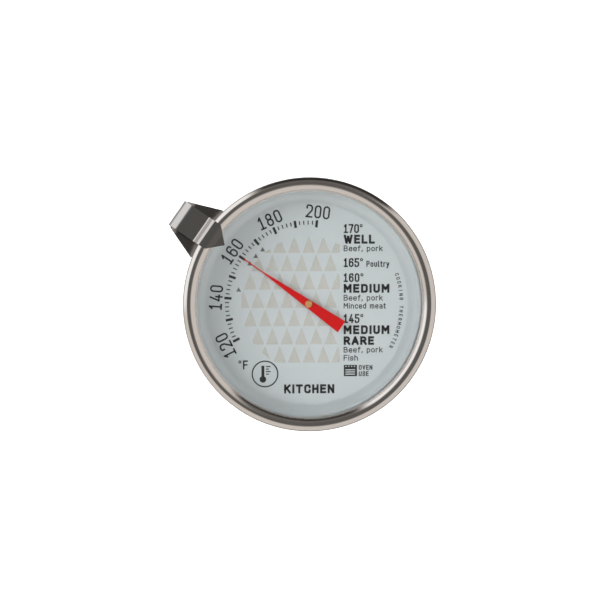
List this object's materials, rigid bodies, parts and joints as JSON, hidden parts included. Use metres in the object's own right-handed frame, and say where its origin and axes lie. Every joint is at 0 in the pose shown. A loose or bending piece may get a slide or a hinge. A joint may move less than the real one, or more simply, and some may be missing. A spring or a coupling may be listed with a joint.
{
  "type": "oven thermometer",
  "caption": "Leave-in oven thermometer: round dial head with steel bezel and glass, pointer turned by a coil in a pointed probe stem, and a marker clip that slides round the rim.",
  "frame": {"origin": "on the stem's axis, in the plane of the case back, where the probe stem leaves the head", "axes": "+Z out of the dial towards the reader, +Y towards the top of the dial, +X to the reader's right; the stem runs down -Z"},
  "size_m": [0.0738, 0.07, 0.1279],
  "materials": {
    "bezel_steel": "polished stainless steel, lightly handled",
    "case_steel": "satin drawn stainless steel with fine turned marks",
    "stem_steel": "centreless-ground stainless steel",
    "shaft_steel": "drawn steel wire",
    "spring_steel": "bright cold-rolled spring strip",
    "lens_glass": "clear flat tempered glass",
    "gasket_silicone": "matte silicone",
    "dial_silver": "satin silver coated aluminium with dark grey print",
    "pointer_red": "satin red paint",
    "brass": "turned brass",
    "bimetal_strip": "rolled two-layer metal strip"
  },
  "bodies": {
    "head": {"case_back": "case_steel", "bezel_ring": "bezel_steel", "lens": "lens_glass", "lens_gasket": "gasket_silicone", "dial_pan": "dial_silver", "stem_tube": "stem_steel", "stem_tip": "stem_steel", "stem_collar": "stem_steel", "stem_flange": "stem_steel", "upper_bushing": "brass", "middle_guide": "brass", "lower_guide": "brass", "coil_anchor": "stem_steel"},
    "pointer_train": {"pointer": "pointer_red", "pointer_hub": "brass", "pointer_shaft": "shaft_steel", "coil_top_collar": "brass", "bimetal_coil": "bimetal_strip"},
    "target_marker": {"target_marker_clip": "spring_steel"}
  },
  "joints": [
    {"name": "pointer_turn", "type": "hinge", "parent": "head", "child": "pointer_train", "pos_m": [0, 0, 0.005], "axis": [0, 0, 1], "range_deg": [-92, 196.5], "deforming": ["bimetal_coil"]},
    {"name": "marker_turn", "type": "hinge", "parent": "head", "child": "target_marker", "pos_m": [0, 0, 0.01], "axis": [0, 0, 1], "continuous": true}
  ]
}
